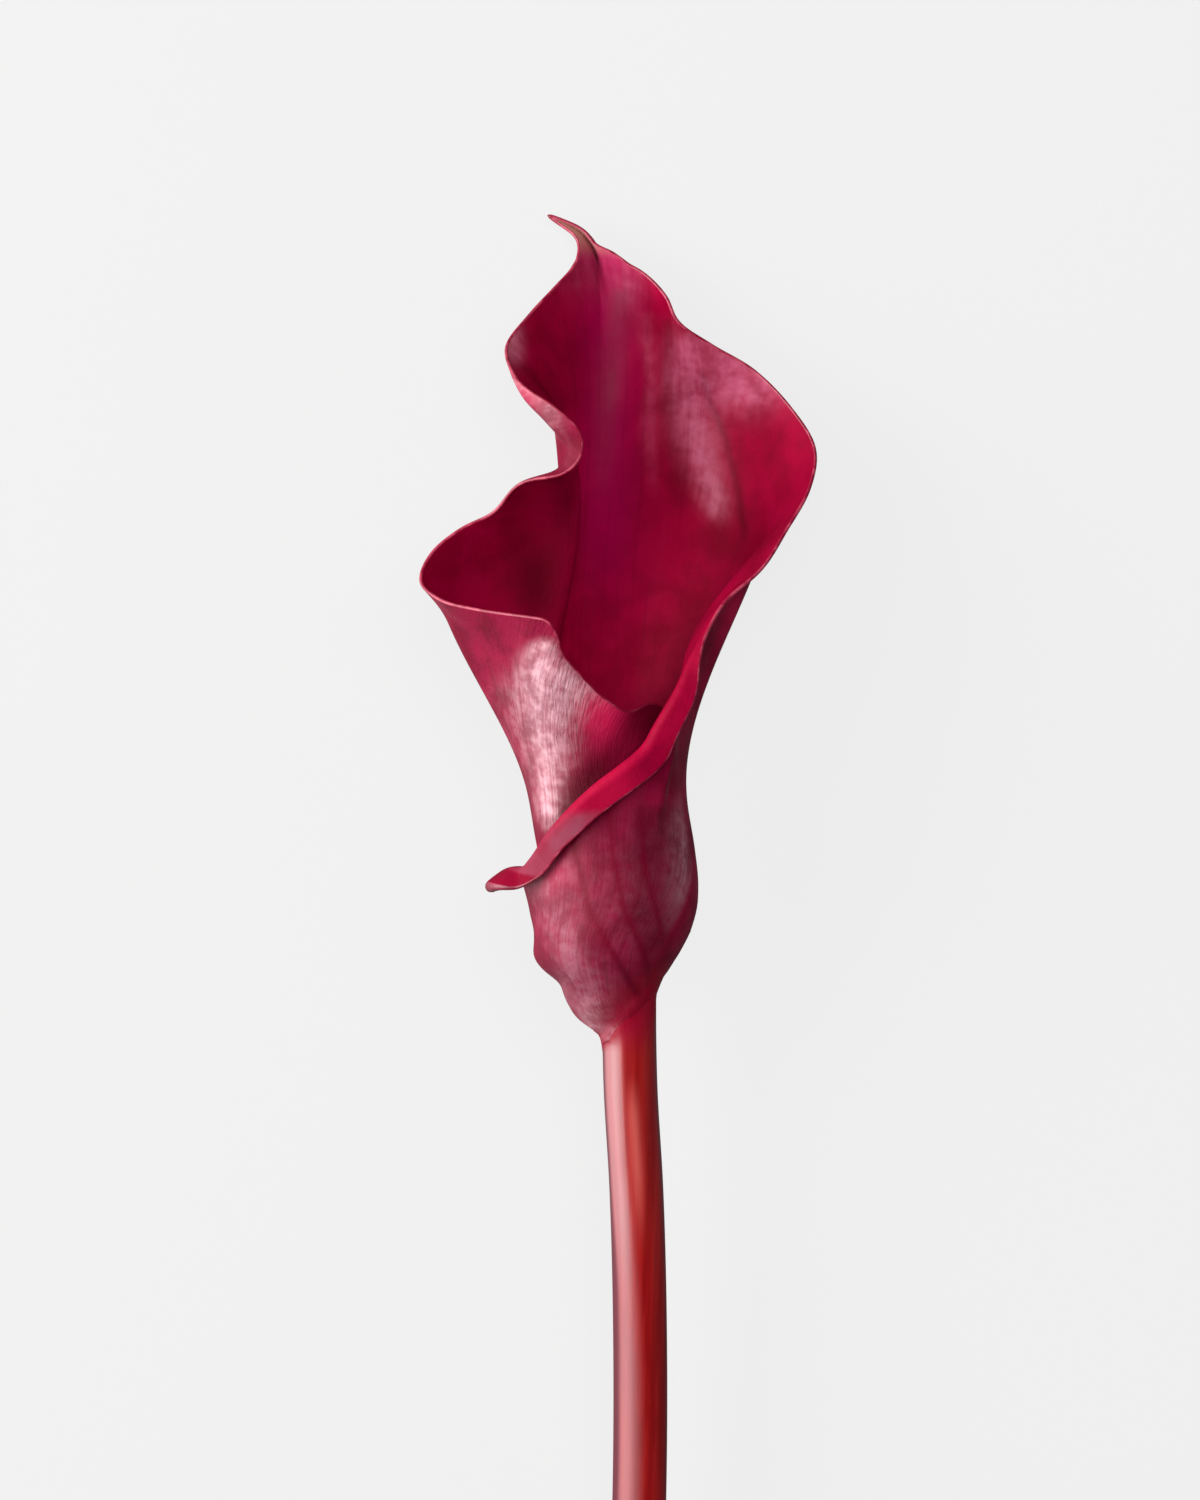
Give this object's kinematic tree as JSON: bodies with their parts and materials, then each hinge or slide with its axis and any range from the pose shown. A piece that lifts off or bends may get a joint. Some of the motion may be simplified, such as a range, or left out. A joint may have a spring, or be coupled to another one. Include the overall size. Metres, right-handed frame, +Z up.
{
  "type": "calla lily flower",
  "caption": "Cut calla lily lying on its back: a funnel spathe wrapped round its own front, a hidden spadix and a long bare stem.",
  "frame": {"origin": "middle of the flat spot on the back of the spathe, on the surface that the flower lies on", "axes": "+Y from the cut end of the stem towards the tip of the spathe, +Z up out of the open front, +X to the right as the flower is looked down on"},
  "size_m": [0.0596, 0.3481, 0.0394],
  "materials": {
    "petal": "satin burgundy petal, with purple inside and a pale sheen outside",
    "pollen": "dull golden florets",
    "stalk": "smooth red stem with a soft gloss"
  },
  "bodies": {
    "root": {"spathe": "petal", "spadix": "pollen", "stem": "stalk"}
  },
  "joints": []
}
